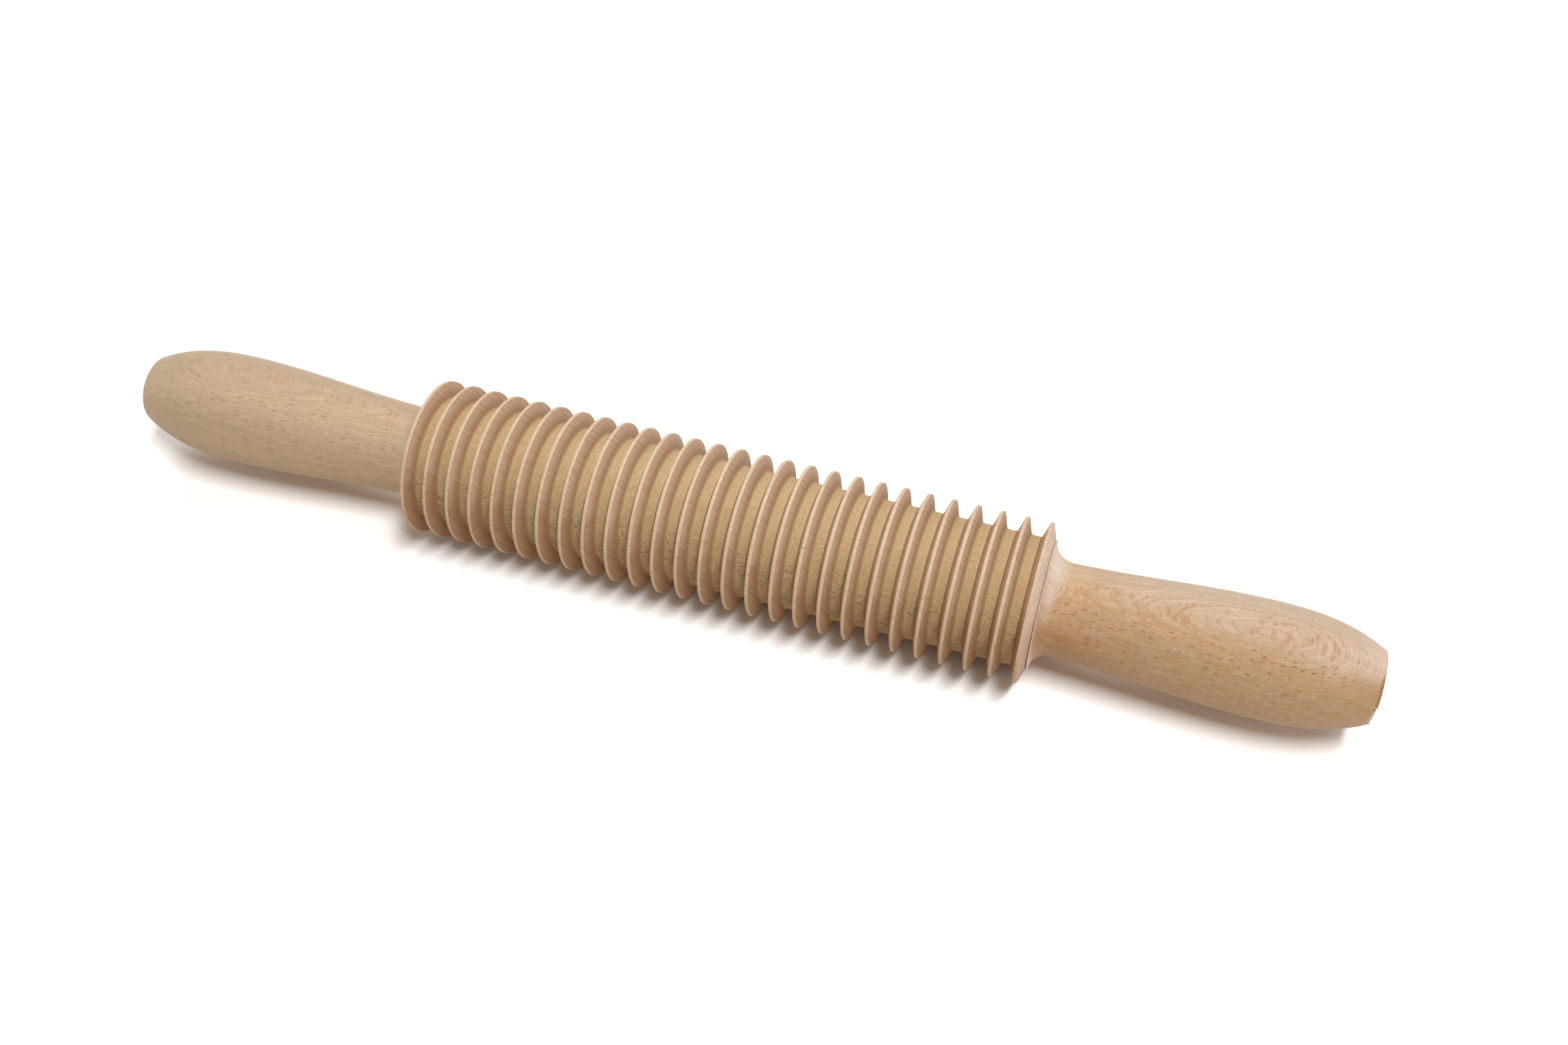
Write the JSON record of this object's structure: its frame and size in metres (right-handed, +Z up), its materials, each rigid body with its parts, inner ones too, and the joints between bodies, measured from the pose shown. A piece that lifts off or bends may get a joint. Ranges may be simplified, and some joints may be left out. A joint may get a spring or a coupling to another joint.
{
  "type": "ridged rolling pin",
  "caption": "Wooden rolling pin for cutting pasta strips: a roller with a row of thin tapered discs turns on an axle between flared, swelling handles.",
  "frame": {"origin": "under the middle of the pin, at the level of the surface that its roller lies on", "axes": "+X along the pin towards the right handle, +Z up, +Y to the back"},
  "size_m": [0.321, 0.04, 0.04],
  "materials": {
    "roller_beech": "raw turned beech, matt",
    "handle_beech": "raw sanded beech, matt",
    "steel": "plain drawn steel",
    "nylon": "natural nylon"
  },
  "bodies": {
    "handle_frame": {"axle": "steel", "left_handle": "handle_beech", "right_handle": "handle_beech", "left_washer": "steel", "right_washer": "steel"},
    "roller": {"ridged_roller": "roller_beech", "left_bush": "nylon", "right_bush": "nylon"}
  },
  "joints": [
    {"name": "roller_spin", "type": "hinge", "parent": "handle_frame", "child": "roller", "pos_m": [0, 0, 0.02], "axis": [1, 0, 0], "continuous": true}
  ]
}
